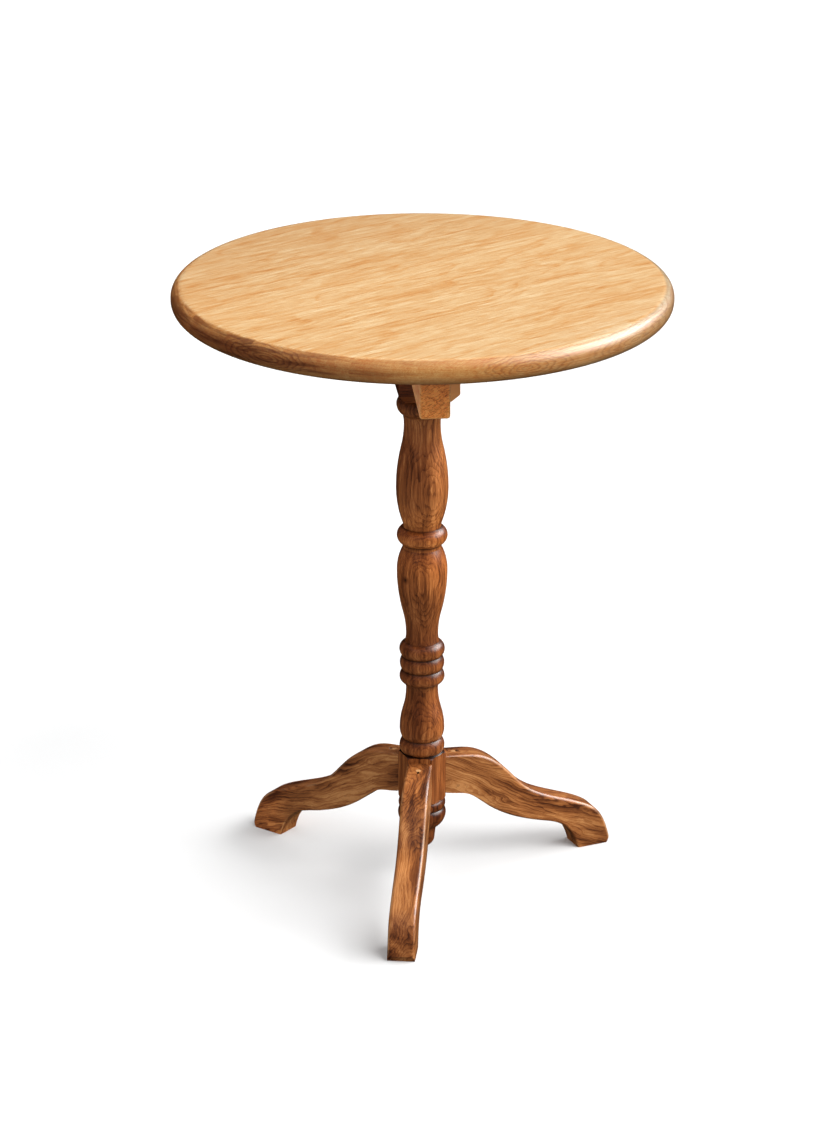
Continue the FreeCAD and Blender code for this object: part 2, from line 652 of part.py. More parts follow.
# Legs: sawn to a curved outline, seen from the side. Each pole of an outline is a share of
# the way from the block's face to the toe, and a share of the leg's height
UPPER_SHARES = [(0, 1), (0.10, 0.985), (0.21, 0.975), (0.33, 0.86), (0.41, 0.73),
                (0.51, 0.57), (0.69, 0.465), (0.86, 0.375), (0.965, 0.27), (1, 0.05)]
UNDER_SHARES = [(0.805, 0), (0.785, 0.12), (0.71, 0.255), (0.57, 0.295), (0.39, 0.385),
                (0.245, 0.515), (0.14, 0.67), (0.06, 0.665), (0, 0.69)]
GROUND_SHARE = 0.98


def leg_pole(out_share, up_share):
    return f"{BLOCK_FACE} + (leg_reach - {BLOCK_FACE}) * {out_share}", f"leg_height * {up_share}"


def make_leg(label, turn):
    body = new_body(label, "0", f"{LEG_BEARING} + {turn}")
    side = new_sketch(body, f"{label}_side", "XZ_Plane")
    upper = add_spline(side, [leg_pole(*share) for share in UPPER_SHARES])
    under = add_spline(side, [leg_pole(*share) for share in UNDER_SHARES])
    ground = leg_pole(GROUND_SHARE, 0)
    places = [leg_pole(*UPPER_SHARES[-1]), ground, leg_pole(*UNDER_SHARES[0]),
              leg_pole(*UNDER_SHARES[-1]), leg_pole(*UPPER_SHARES[0])]
    toe, ground_end, heel, low_back, high_back = (Vector(value(out), value(up), 0) for out, up in places)
    toe_line = side.addGeometry(Part.LineSegment(toe, ground_end), False)
    sole = side.addGeometry(Part.LineSegment(ground_end, heel), False)
    back_line = side.addGeometry(Part.LineSegment(low_back, high_back), False)
    order = [upper, toe_line, sole, under, back_line]
    for before, after in zip(order, order[1:] + order[:1]):
        side.addConstraint(Sketcher.Constraint("Coincident", before, 2, after, 1))
    pin_point(side, (sole, 1), *ground)
    plate = pad(body, f"{label}_plate", side, "leg_width", middle=True)
    bends = [edge for edge in plate.Shape.Edges if isinstance(edge.Curve, Part.BSplineCurve)]
    height = max(edge.BoundBox.ZMax for edge in bends)
    tops = round_edges(body, f"{label}_eased_top", plate, "leg_top_rounding",
                       lambda edge: isinstance(edge.Curve, Part.BSplineCurve)
                       and edge.BoundBox.ZMax > height - ALIGNED)
    round_edges(body, f"{label}_eased_under", tops, "leg_under_rounding",
                lambda edge: isinstance(edge.Curve, Part.BSplineCurve)
                and edge.BoundBox.ZMin < ALIGNED and edge.BoundBox.YLength < ALIGNED)
    # the cheeks are planed in towards the block, down to the width of its face
    cheeks = new_sketch(body, f"{label}_cheeks", "XY_Plane")
    for sign in ("", "-"):
        add_polygon(cheeks, [
            (f"{BLOCK_FACE} - overrun", f"{sign}({BLOCK_SIDE} / 2)"),
            (BLOCK_FACE, f"{sign}({BLOCK_SIDE} / 2)"),
            (f"{BLOCK_FACE} + leg_cheek_length", f"{sign}(leg_width / 2)"),
            (f"{BLOCK_FACE} - overrun", f"{sign}(leg_width / 2 + overrun)"),
        ])
    pocket(body, f"{label}_planed", cheeks, "leg_height + overrun", reverse=True)
    # dovetail key on the leg's back, up into the housing
    key = new_sketch(body, f"{label}_key_plan", "XY_Plane", level="block_level")
    add_polygon(key, [
        (f"{BLOCK_FACE} - key_depth", "-key_root / 2"),
        (BLOCK_FACE, "-key_neck / 2"),
        (BLOCK_FACE, "key_neck / 2"),
        (f"{BLOCK_FACE} - key_depth", "key_root / 2"),
    ])
    pad(body, f"{label}_key", key, "key_height")
    nail_hole(body, NAIL_LEVEL)


def angle_from_front(place):
    return f"360 / {len(LEGS)} * {place}"


for place, label in enumerate(LEGS):
    make_leg(label, angle_from_front(place))


# Hardware: plain shanks, heads and points, grouped by kind
def cylinder(name, diameter, length, level="0"):
    made = doc.addObject("Part::Cylinder", name)
    drive(made, "Radius", f"{diameter} / 2")
    drive(made, "Height", length)
    drive(made, "Placement.Base.z", level)
    return made


def point(name, diameter, length, level):
    made = doc.addObject("Part::Cone", name)
    drive(made, "Radius1", f"{diameter} / 2")
    made.Radius2 = 0
    drive(made, "Height", length)
    drive(made, "Placement.Base.z", level)
    return made


def join(name, pieces):
    made = doc.addObject("Part::MultiFuse", name)
    made.Shapes = pieces
    return made


def screw(name, length):
    """A wood screw along its own upward axis. Its head stands in the well under level zero."""
    head_part = cylinder(f"{name}_head", "screw_head_diameter", "screw_head_height", "-screw_head_height")
    shank = cylinder(f"{name}_shank", "screw_diameter", f"{length} - screw_tip")
    tip = point(f"{name}_tip", "screw_diameter", "screw_tip", f"{length} - screw_tip")
    return join(name, [head_part, shank, tip])


def nail(name):
    shank = cylinder(f"{name}_shank", "nail_diameter", "nail_length - nail_point")
    tip = point(f"{name}_tip", "nail_diameter", "nail_point", "nail_length - nail_point")
    return join(name, [shank, tip])


def group(label, pieces, level, turn):
    made = doc.addObject("Part::Compound", label)
    made.Label = label
    made.Links = pieces
    drive(made, "Placement.Base.z", level)
    drive(made, "Placement.Rotation.Angle", turn)
    return made


top_screws = []
for number, (sign, place) in enumerate(screw_places(), start=1):
    made = screw(f"top_screw_{number}", "top_screw_web + top_screw_grip")
    drive(made, "Placement.Base.x", f"{sign}{place}")
    top_screws.append(made)
group("top_screws", top_screws, f"{TOP_LEVEL} - top_screw_web", BEARER_BEARING)

head_screws = []
for number, sign in enumerate(("", "-"), start=1):
    made = screw(f"head_screw_{number}", "head_screw_web + head_screw_grip")
    made.Placement = Placement(Vector(0, 0, 0), Rotation(ACROSS_AXIS, 180))
    drive(made, "Placement.Base.x", f"{sign}head_screw_out")
    head_screws.append(made)
group("head_screws", head_screws, f"{BEARER_LEVEL} + head_screw_web", BEARER_BEARING)

nails = []
for place, label in enumerate(LEGS):
    made = nail(f"{label}_nail")
    bearing = f"({LEG_BEARING} + {angle_from_front(place)})"
    out = f"({BLOCK_FACE} + nail_out - nail_sunk * cos(nail_angle))"
    level = f"{NAIL_LEVEL} - nail_sunk * sin(nail_angle)"
    drive(made, "Placement", f"placement(vector({out} * cos({bearing}); {out} * sin({bearing}); {level}); "
                             f"rotation(vector(0; 0; 1); {bearing}) * {NAIL_LEAN})")
    nails.append(made)
group("leg_nails", nails, "0", "0")

doc.recompute()
for item in doc.Objects:
    if {"Invalid", "Error"} & set(item.State):
        raise ValueError(f"{item.Label} is {item.State}")

NODES = [item for item in doc.Objects
         if item.isDerivedFrom("PartDesign::Body") or item.isDerivedFrom("Part::Compound")]
os.makedirs("parts", exist_ok=True)
for node in NODES:
    if node.Shape.isNull() or not node.Shape.isValid():
        raise ValueError(f"{node.Label} has no valid shape")
for node in NODES:
    node.Shape.exportStep(f"parts/{node.Label}.step")
    box = node.Shape.BoundBox
    print(node.Label, len(node.Shape.Solids), "solids", round(node.Shape.Volume), "cubic mm,",
          "level", round(box.ZMin, 1), "to", round(box.ZMax, 1))
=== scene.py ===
import math
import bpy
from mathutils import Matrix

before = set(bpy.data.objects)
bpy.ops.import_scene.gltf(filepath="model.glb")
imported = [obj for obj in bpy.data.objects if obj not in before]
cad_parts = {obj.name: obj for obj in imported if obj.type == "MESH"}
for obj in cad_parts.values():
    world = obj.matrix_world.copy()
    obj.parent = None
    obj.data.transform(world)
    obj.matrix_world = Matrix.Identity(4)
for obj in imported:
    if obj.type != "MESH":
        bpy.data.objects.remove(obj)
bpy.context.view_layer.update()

from types import SimpleNamespace

import bpy
from mathutils import Vector

# Camera. The photograph looks down at the table from about eye height, four metres away, with a
# long lens. The post stands a little to the right of the picture's middle.
PHOTO_WIDTH = 823
LENS_PIXELS = 4233
SENSOR_MM = 36
CAMERA_PLACE = (0, -4.014, 1.9126)
LOOKS_DOWN = 0.374
TURNS_LEFT = 0.0027
SEES_TO = 200
camera = bpy.data.objects.new("camera", bpy.data.cameras.new("camera"))
camera.data.sensor_fit = "HORIZONTAL"
camera.data.sensor_width = SENSOR_MM
camera.data.lens = LENS_PIXELS / PHOTO_WIDTH * SENSOR_MM
camera.location = CAMERA_PLACE
camera.rotation_euler = (math.pi / 2 - LOOKS_DOWN, 0, TURNS_LEFT)
camera.data.clip_end = SEES_TO
bpy.context.collection.objects.link(camera)
bpy.context.scene.camera = camera
bpy.context.scene.view_settings.view_transform = "Standard"

# Floor and studio light. A seamless white floor stands in pale light from all round, with three
# soft lights on the right, two weak ones on the left and one straight above. A seventh light is
# seen only as the glint in the varnish.
FLOOR_HALF = 60
FLOOR_CORNERS = [(-FLOOR_HALF, -FLOOR_HALF, 0), (FLOOR_HALF, -FLOOR_HALF, 0),
                 (FLOOR_HALF, FLOOR_HALF, 0), (-FLOOR_HALF, FLOOR_HALF, 0)]
FLOOR_GREY = 0.69
floor_mesh = bpy.data.meshes.new("floor")
floor_mesh.from_pydata(FLOOR_CORNERS, [], [(0, 1, 2, 3)])
floor = bpy.data.objects.new("floor", floor_mesh)
bpy.context.collection.objects.link(floor)
paper = bpy.data.materials.new("white_floor")
paper.use_nodes = True
paper_inputs = paper.node_tree.nodes["Principled BSDF"].inputs
paper_inputs["Base Color"].default_value = (FLOOR_GREY, FLOOR_GREY, FLOOR_GREY, 1)
paper_inputs["Roughness"].default_value = 0.9
paper_inputs["Specular IOR Level"].default_value = 0.1
floor_mesh.materials.append(paper)
# the floor shows shadows, but throws no light back up at the table
floor.visible_glossy = False
floor.visible_diffuse = False

STUDIO_WHITE = (0.97, 0.99, 1, 1)
STUDIO_STRENGTH = 0.4
world = bpy.data.worlds.new("studio")
world.use_nodes = True
world.node_tree.nodes["Background"].inputs["Color"].default_value = STUDIO_WHITE
world.node_tree.nodes["Background"].inputs["Strength"].default_value = STUDIO_STRENGTH
bpy.context.scene.world = world
world.cycles_visibility.glossy = False

# each light's direction, as a point round the table that it shines from, its strength and its
# spread in degrees
LIGHTS = {
    "key_light": ((1.0, -0.05, 0.6), 2.0, 40),
    "back_light": ((0.7, 0.4, 0.5), 1.7, 34),
    "corner_light": ((0.76, -0.65, 1.05), 2.25, 38),
    "top_light": ((0.0, -0.1, 1), 0.5, 90),
    "front_light": ((-0.6, -0.8, 0.5), 0.75, 44),
    "rear_light": ((-0.6, 0.75, 0.3), 0.5, 60),
    "glint_light": ((0.665, 0.3, 0.68), 2.6, 50),
}
for name, (source, strength, spread) in LIGHTS.items():
    lamp = bpy.data.lights.new(name, "SUN")
    lamp.energy = strength
    lamp.angle = math.radians(spread)
    placed = bpy.data.objects.new(name, lamp)
    placed.rotation_euler = Vector(source).to_track_quat("Z", "Y").to_euler()
    bpy.context.collection.objects.link(placed)
# three of them leave no glint in the varnish, and one is seen only there
for name in ("corner_light", "front_light", "rear_light"):
    bpy.data.objects[name].visible_glossy = False
bpy.data.objects["glint_light"].visible_diffuse = False

# Round top. Five boards of pale straight-grained wood, glued edge to edge and turned to one disc
# with a rounded rim, then varnished. The fibres run across the picture, rising to the right.
UP = (0, 0, 1)
MM = 1000


class Wire:
    """A socket in a material's node tree. Arithmetic on it adds Math nodes."""

    def __init__(self, tree, socket=None):
        self.tree = tree
        self.socket = socket

    def add(self, kind, settings, inputs, output=0):
        """Add a node, set it up, fill its sockets with values or wires, and return an output."""
        node = self.tree.nodes.new(kind)
        for name, setting in settings.items():
            if name == "stops":
                elements = node.color_ramp.elements
                while len(elements) < len(setting):
                    elements.new(1)
                for element, (position, colour) in zip(elements, setting):
                    element.position = position
                    element.color = (*colour, 1)
            else:
                setattr(node, name, setting)
        for name, given in inputs.items():
            if isinstance(given, Wire):
                self.tree.links.new(given.socket, node.inputs[name])
            else:
                node.inputs[name].default_value = given
        return Wire(self.tree, node.outputs[output])

    def math(self, operation, *others):
        return self.add("ShaderNodeMath", {"operation": operation},
                        dict(enumerate((self, *others))))

    def __add__(self, other):
        return self.math("ADD", other)

    __radd__ = __add__

    def __sub__(self, other):
        return self.math("SUBTRACT", other)

    def __rsub__(self, other):
        return self.add("ShaderNodeMath", {"operation": "SUBTRACT"}, {0: other, 1: self})

    def __mul__(self, other):
        return self.math("MULTIPLY", other)

    __rmul__ = __mul__

    def __truediv__(self, other):
        return self.math("DIVIDE", other)

    def __rtruediv__(self, other):
        return self.add("ShaderNodeMath", {"operation": "DIVIDE"}, {0: other, 1: self})

    def absolute(self):
        return self.math("ABSOLUTE")

    def spread(self, low, high):
        """Nothing at low and one at high, rising evenly between them. Low may be above high."""
        return self.add("ShaderNodeMapRange", {},
                        {"Value": self, "From Min": low, "From Max": high})

    def within(self, start, full, fade, end):
        """One from full to fade, and nothing before start and after end."""
        return self.spread(start, full) * self.spread(end, fade)

    def point(self, x, y, z):
        return self.add("ShaderNodeCombineXYZ", {}, {0: x, 1: y, 2: z})

    def vector(self, operation, *others, output=0):
        return self.add("ShaderNodeVectorMath", {"operation": operation},
                        dict(enumerate((self, *others))), output)

    def scaled(self, amount):
        return self.add("ShaderNodeVectorMath", {"operation": "SCALE"}, {0: self, "Scale": amount})

    def dot(self, direction):
        return self.vector("DOT_PRODUCT", tuple(direction), output=1)

    def length(self):
        return self.vector("LENGTH", output=1)

    def distance(self, point):
        return self.vector("DISTANCE", tuple(point), output=1)

    def noise(self, detail=2.0, roughness=0.5, scale=1.0, output=0):
        return self.add("ShaderNodeTexNoise", {}, {"Vector": self, "Scale": scale, "Detail": detail,
                                                   "Roughness": roughness}, output)

    def drift(self, detail, roughness, reach):
        """A noise in three directions that moves a point by up to half its reach each way."""
        noise = self.noise(detail, roughness, output=1)
        return noise.vector("SUBTRACT", (0.5, 0.5, 0.5)).scaled(reach)

    def ramp(self, stops):
        return self.add("ShaderNodeValToRGB", {"stops": stops}, {"Fac": self})

    def profile(self, points):
        """A value read off a curve, given as points from 0 to 1."""
        return self.ramp([(position, (level,) * 3) for position, level in points])

    def mixed(self, colour, amount, how="MIX"):
        return self.add("ShaderNodeMix", {"data_type": "RGBA", "blend_type": how},
                        {0: amount, 6: self, 7: (*colour, 1)}, 2)

    def tinted(self, tint, amount):
        """This colour multiplied by a tint, by an amount. A tint above one makes it paler."""
        return self.mixed(tint, amount, "MULTIPLY")


def shade(red, green, blue):
    """A colour as the eye reads it, 0 to 255, turned into light."""
    return tuple(((c / 255 + 0.055) / 1.055) ** 2.4 if c > 10 else c / 255 / 12.92
                 for c in (red, green, blue))


def axes_of(fibre, side):
    """Three unit directions: along the fibres, across them, and across both."""
    along = Vector(fibre).normalized()
    across = (Vector(side) - Vector(side).dot(along) * along).normalized()
    return along, across, along.cross(across)


# how dark one year's ring is on its way out from the heart: early wood, then late wood
RING = [(0, 0), (0.4, 0.1), (0.75, 0.5), (0.86, 1), (0.94, 1), (1, 0)]
LOG_STEP = 137
CREASE_SHADE = (0.28, 0.22, 0.18)
BUMP_HEIGHT = 0.0006


def wood(name, fibre, side, heart, look, seed):
    """Varnished solid wood, cut from a log whose fibres run along one direction and whose heart
    passes at a distance from the origin, in millimetres across the fibres. Returns the material
    with its wires, so that marks can be added to them before it is fitted."""
    material = bpy.data.materials.new(name)
    material.use_nodes = True
    place = Wire(material.node_tree).add("ShaderNodeTexCoord", {}, {}, 3)
    normal = place.add("ShaderNodeNewGeometry", {}, {}, 1)
    axes = axes_of(fibre, side)
    along, across, depth = (place.dot(axis * MM) for axis in axes)
    along = along + seed * LOG_STEP

    def stretched(long, wide, shift=0.0):
        return place.point(along * long + shift, across * wide, depth * wide)

    # the log isn't straight: its rings wander and, in figured wood, swirl
    wander = stretched(look["bend"], look["bend"] * 4).drift(2.0, 0.5, look["bend_mm"])
    eddy = stretched(look["curl"], look["curl"] * 2.2, 5.0).drift(3.0, 0.55, look["curl_mm"])
    out = place.point(0.0, across - heart[0], depth - heart[1])
    out = out.vector("ADD", wander).vector("ADD", eddy).vector("MULTIPLY", (0, 1, 1))
    radius = out.length()
    uneven = place.point(radius * 0.07, along * 0.0004, seed).noise()
    ring = radius / look["ring_mm"] + uneven * look["ring_uneven"]
    late = ring.math("FRACT").profile(RING)
    # streaks, fibres and pores follow the same wandering lines, each from its own noise
    bent = place.point(along, 0.0, 0.0).vector("ADD", out)

    def streak(size, detail, roughness, shift):
        long, wide = size
        lain = bent.vector("MULTIPLY", (long, wide, wide)).vector("ADD", (shift, shift, seed))
        return lain.noise(detail, roughness)

    band = streak(look["band"], 2.0, 0.5, 3.0)
    strand = streak(look["strand"], 5.0, 0.62, 11.0)
    fibres = streak(look["fibre"], 3.0, 0.6, 23.0)
    pores = streak(look["pore"], 1.0, 0.5, 31.0).spread(0.60, 0.70)
    tone = (0.5 + (band - 0.5) * look["band_weight"] + (strand - 0.5) * look["strand_weight"]
            + (fibres - 0.5) * look["fibre_weight"]
            - late * look["ring_weight"] + look["ring_weight"] * 0.35)
    colour = tone.ramp(look["tones"]).mixed(look["pore_colour"], pores * look["pore_weight"])
    # end grain drinks more of the stain
    end_grain = normal.dot(axes[0]).absolute().spread(look["end_from"], 1.0)
    colour = colour.tinted(look["end_colour"], end_grain * look["end_weight"])
    # painted shade: shoulders that look up, grooves and creases are darker, as the photograph shows
    # them
    if "shoulder" in look:
        colour = colour.tinted(look["shoulder"], normal.dot(UP).spread(-0.25, 0.45))
    if "groove" in look:
        for tint, reach, open_to, shut_at in ((look["groove"], 0.012, 0.96, 0.45),
                                              (CREASE_SHADE, 0.006, 0.93, 0.68)):
            sheltered = place.add("ShaderNodeAmbientOcclusion", {"samples": 8, "only_local": True},
                                  {"Distance": reach}, 1)
            colour = colour.tinted(tint, sheltered.spread(open_to, shut_at))
    height = fibres * 0.5 + strand * 0.3 - pores * 0.5 - late * 0.25
    bump = height.add("ShaderNodeBump", {}, {"Height": height, "Strength": look["bump"],
                                             "Distance": BUMP_HEIGHT})
    rough = look["rough"] + (fibres - 0.5) * 0.16 + late * 0.05 + pores * 0.1
    return SimpleNamespace(material=material, look=look, place=place, normal=normal, late=late,
                           fibres=fibres, colour=colour, rough=rough, bump=bump)


def dress(node, material):
    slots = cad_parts[node].data.materials
    for index in range(len(slots)):
        slots[index] = material


def fit(timber, *nodes):
    """Join a wood's wires to its shader, varnish it and put it on its pieces."""
    tree = timber.material.node_tree
    inputs = tree.nodes["Principled BSDF"].inputs
    tree.links.new(timber.colour.socket, inputs["Base Color"])
    tree.links.new(timber.rough.socket, inputs["Roughness"])
    tree.links.new(timber.bump.socket, inputs["Normal"])
    inputs["Specular IOR Level"].default_value = timber.look["gloss"]
    inputs["Coat Weight"].default_value = timber.look["coat"]
    inputs["Coat Roughness"].default_value = timber.look["coat_rough"]
    for node in nodes:
        dress(node, timber.material)


# A wood's look. Sizes of streaks are per millimetre, along the fibres and across them.
PALE = {
    "tones": [(0.08, shade(184, 114, 48)), (0.32, shade(201, 145, 81)), (0.5, shade(207, 163, 109)),
              (0.68, shade(216, 181, 132)), (0.92, shade(228, 205, 166))],
    "bend": 0.0022, "bend_mm": 34.0, "curl": 0.012, "curl_mm": 4.0,
    "ring_mm": 2.4, "ring_uneven": 5.0, "ring_weight": 0.14,
    "band": (0.0045, 0.04), "band_weight": 0.42,
    "strand": (0.015, 0.24), "strand_weight": 0.8,
    "fibre": (0.045, 1.0), "fibre_weight": 1.2,
    "pore": (0.09, 2.2), "pore_weight": 0.2, "pore_colour": shade(150, 96, 50),
    "end_colour": (0.5, 0.34, 0.24), "end_from": 0.6, "end_weight": 1.0,
    "bump": 0.12, "rough": 0.4, "gloss": 0.4, "coat": 1.0, "coat_rough": 0.42,
}
GRAIN_TURN = math.radians(37)
board_fibre = (math.cos(GRAIN_TURN), math.sin(GRAIN_TURN), 0)
board_side = (-math.sin(GRAIN_TURN), math.cos(GRAIN_TURN), 0)
BOARD_HEARTS = [(-190, 160), (-60, 210), (10, 150), (80, 190), (230, 170)]
RIM_LEVEL = 0.634
RIM_STAIN_AND_PAINTED_SHADE = (0.68, 0.485, 0.26)
RIM_STAIN_AND_PAINTED_SHEEN = (0.57, 0.55, 0.53)
LOOP_MIDDLES = (-0.15, 0.1, 0.205)
LOOP_SHAPE = (310, 0, 1000)
LOOP_MM = 2.2
LOOP_LINE = [(0, 0), (0.45, 0.1), (0.8, 1), (1, 0)]
LOOPS_FADE_MM = (19, 14)
# The next two tints imitate the photograph's broad highlight at the front right, which is a
# reflection and not a colour of the wood. With (1, 1, 1) each is taken out.
RIM_HIGHLIGHT_TINT = (1.06, 1.28, 1.6)
FACE_HIGHLIGHT_TINT = (1.06, 1.2, 1.46)
HIGHLIGHT_TOWARDS = (0.74, -0.67, 0)
HIGHLIGHT_FROM = (0.195, 0.238)
for number, heart in enumerate(BOARD_HEARTS, start=1):
    seed = number * 1.7
    board = wood(f"top_wood_{number}", board_fibre, board_side, heart, PALE, seed)
    place, colour = board.place, board.colour
    upward = board.normal.dot(UP)
    # these tints follow the photograph: the rim is darker than the face, stained, and browner on
    # its left, painted shade; on its right it is greyer, a painted sheen, with its rings showing
    rim = (upward + (board.fibres - 0.5) * 0.02).spread(0.992, 0.92)
    right = place.dot((1, 0.3, 0)).spread(0.0, 0.26)
    colour = colour.tinted(RIM_STAIN_AND_PAINTED_SHEEN, rim * right)
    colour = colour.tinted((0.8, 0.68, 0.54), board.late * rim * right)
    colour = colour.tinted(RIM_HIGHLIGHT_TINT, rim * right * upward.spread(0.62, 0.85))
    colour = colour.tinted(RIM_STAIN_AND_PAINTED_SHADE, rim * (1 - right))
    # the turned rim cuts the rings into nested loops in three places
    east = place.dot((1, 0, 0))
    left = east.spread(0.04, -0.14)
    wobble = place.vector("MULTIPLY", (60, 60, 150)).noise() * 5
    loops = 100 + wobble
    for middle in LOOP_MIDDLES:
        oval = place.vector("SUBTRACT", (middle, 0, RIM_LEVEL)).vector("MULTIPLY", LOOP_SHAPE)
        loops = loops.math("MINIMUM", oval.length() + wobble)
    lines = (loops / LOOP_MM).math("FRACT").profile(LOOP_LINE) * loops.spread(*LOOPS_FADE_MM)
    colour = colour.tinted((0.44, 0.28, 0.17), lines * rim * (0.55 + left * 0.25))
    # it is streaked on its left, and paler at its far left, painted light
    streaks = place.vector("MULTIPLY", (14, 14, 210)).vector("ADD", (seed, 0, 0)).noise(3.0, 0.6)
    colour = colour.tinted((0.5, 0.37, 0.26), streaks.spread(0.48, 0.62) * rim * left)
    colour = colour.tinted((1.5, 1.56, 1.75), rim * left * east.spread(-0.19, -0.24))
    # the face is a little deeper in colour towards the back left, and has the painted highlight
    # by the rim at the front right
    colour = colour.tinted((0.84, 0.79, 0.75), place.dot(board_side).spread(0.03, 0.22))
    highlight = place.dot(HIGHLIGHT_TOWARDS).spread(*HIGHLIGHT_FROM) * upward.spread(0.55, 0.85)
    board.colour = colour.tinted(FACE_HIGHLIGHT_TINT, highlight)
    fit(board, f"top_board_{number}")

# Bearer. A deep batten of darker wood on edge, screwed to the boards and bored for the post's
# tenon, which a wedge spreads in it. Its sawn end shows curly end grain.
BEARER = {
    **PALE,
    "tones": [(0.05, shade(170, 104, 50)), (0.35, shade(222, 152, 84)),
              (0.55, shade(240, 178, 106)), (0.75, shade(248, 194, 124)),
              (0.95, shade(252, 212, 150))],
    "ring_mm": 3.0, "ring_weight": 0.3, "curl_mm": 26.0, "curl": 0.035, "bend_mm": 20.0,
    "strand_weight": 1.3, "end_colour": (1.15, 0.82, 0.52), "end_from": 0.45,
    # its grooves and creases get painted shade
    "groove": (0.3, 0.22, 0.16), "rough": 0.5, "coat": 0.1,
}
BEARER_TURN = math.radians(4.6)
PAINTED_SHADOW_LINE_FROM = (0.5895, 0.5935)
bearer_fibre = (math.sin(BEARER_TURN), -math.cos(BEARER_TURN), 0)
bearer = wood("bearer_wood", bearer_fibre, (1, 0, 0), (22, 640), BEARER, 3.1)
# the left face is made paler, painted light, as in the photograph
painted_light_flank = bearer.normal.dot((-1, 0, 0)).spread(0.7, 0.95)
colour = bearer.colour.tinted((1.48, 1.24, 1.31), painted_light_flank)
# the sawn ends carry dark curling rings and fine slanting lines, taken as the saw's
sawn = bearer.normal.dot(bearer_fibre).absolute().spread(0.8, 0.97)
curl_place = bearer.place.vector("MULTIPLY", (600, 0, 1200))
curls = curl_place.scaled(0.045).noise(1.5) * 9 + curl_place.scaled(0.3).noise(2.0, 0.6) * 0.8
patches = curl_place.scaled(0.06).vector("ADD", (7, 3, 1)).noise().spread(0.35, 0.6)
curls = curls.math("FRACT").spread(0.62, 0.95) * patches
colour = colour.tinted((0.5, 0.38, 0.28), curls * sawn * 0.4)
slant = bearer.place.point(bearer.place.dot((150, 0, 85)), bearer.place.dot((-420, 0, 740)), 0.0)
saw_lines = slant.noise(3.0, 0.6).spread(0.42, 0.62)
colour = colour.tinted((0.62, 0.5, 0.4), saw_lines * sawn)
# the sawn ends are also made paler, painted light
colour = colour.tinted((1.15, 1.12, 1.12), sawn)
# close under the top the photograph has a dark line, painted here as the top's shadow
painted_shadow_line = bearer.place.dot(UP).spread(*PAINTED_SHADOW_LINE_FROM)
bearer.colour = colour.tinted((0.5, 0.4, 0.34), painted_shadow_line * sawn)
fit(bearer, "bearer", "tenon_wedge")

# Head block. A square block of the post's dark stained wood, with a bevel round its underside,
# glued over the tenon between the post's top shoulder and the bearer.
DARK = {
    "tones": [(0.05, shade(60, 25, 8)), (0.3, shade(101, 52, 20)), (0.5, shade(139, 78, 36)),
              (0.7, shade(167, 100, 50)), (0.92, shade(196, 130, 75))],
    "bend": 0.008, "bend_mm": 14.0, "curl": 0.04, "curl_mm": 2.4,
    "ring_mm": 1.25, "ring_uneven": 3.0, "ring_weight": 0.2,
    "band": (0.007, 0.085), "band_weight": 0.8,
    "strand": (0.014, 0.4), "strand_weight": 1.2,
    "fibre": (0.03, 1.6), "fibre_weight": 0.6,
    "pore": (0.09, 3.0), "pore_weight": 0.35, "pore_colour": shade(40, 18, 8),
    "end_colour": shade(200, 170, 140), "end_from": 0.45, "end_weight": 0.5,
    # painted shade in its grooves and creases and on shoulders that look up
    "groove": (0.1, 0.07, 0.05), "shoulder": (0.52, 0.42, 0.36),
    "bump": 0.15, "rough": 0.4, "gloss": 0.25, "coat": 0.5, "coat_rough": 0.26,
}
HEAD_PAINTED_LIGHT = shade(250, 172, 102)
head = wood("head_wood", (1, 0.1, 0), (0, 1, 0), (30, 500), DARK, 5.3)
# its right corner is paler in the photograph, painted here as light, and its left darker, a
# painted shadow of the bearer
east = head.place.dot((1, 0, 0))
head.colour = head.colour.mixed(HEAD_PAINTED_LIGHT, east.spread(-0.005, 0.02) * 0.85)
head.colour = head.colour.tinted((0.78, 0.62, 0.44), east.spread(0.005, -0.015))
fit(head, "head_block")

# Post and drop. The post is one turning of dark stained wood, from its tenon down to the
# six-sided block that carries the legs. The drop is a small turning glued in a bore below it.
post = wood("post_wood", UP, (1, 0, 0), (-10, 62), DARK, 7.7)
KNOT = (-0.0168, -0.019, 0.3357)
# levels in metres between which a tint of the turning comes in, and then fades out
HIGH_VASE = (0.4, 0.46, 0.49, 0.52)
MIDDLE_VASE = (0.31, 0.35, 0.39, 0.42)
LOW_VASE_SIDES = (0.145, 0.16, 0.212, 0.222)
LOW_VASE_FRONT = (0.15, 0.17, 0.2, 0.222)
# a small dark spot in the middle vase, taken as a knot
knot = post.place.distance(KNOT) * MM
colour = post.colour.tinted((0.35, 0.28, 0.24), knot.spread(5.5, 1.5))
colour = colour.mixed(shade(34, 16, 8), knot.spread(1.5, 0.8) * 0.8)
# These tints follow the photograph. Painted light makes it paler on the right, most of all in the
# high vase, and makes the whole high vase paler. Where light and wood can't be told apart, it is
# paler at mid height and darker towards the foot.
across = post.place.dot((1, -0.2, 0))
level = post.place.dot(UP)
painted_light_side = across.spread(0.006, 0.022)
colour = colour.tinted((1.35, 1.4, 1.4), painted_light_side)
colour = colour.tinted((2.0, 2.3, 2.6), painted_light_side * level.within(*HIGH_VASE))
colour = colour.tinted((1.3, 1.28, 1.25), level.within(*HIGH_VASE))
colour = colour.tinted((1.6, 1.62, 1.5), level.within(*MIDDLE_VASE))
colour = colour.tinted((0.84, 0.81, 0.8), level.spread(0.32, 0.28))
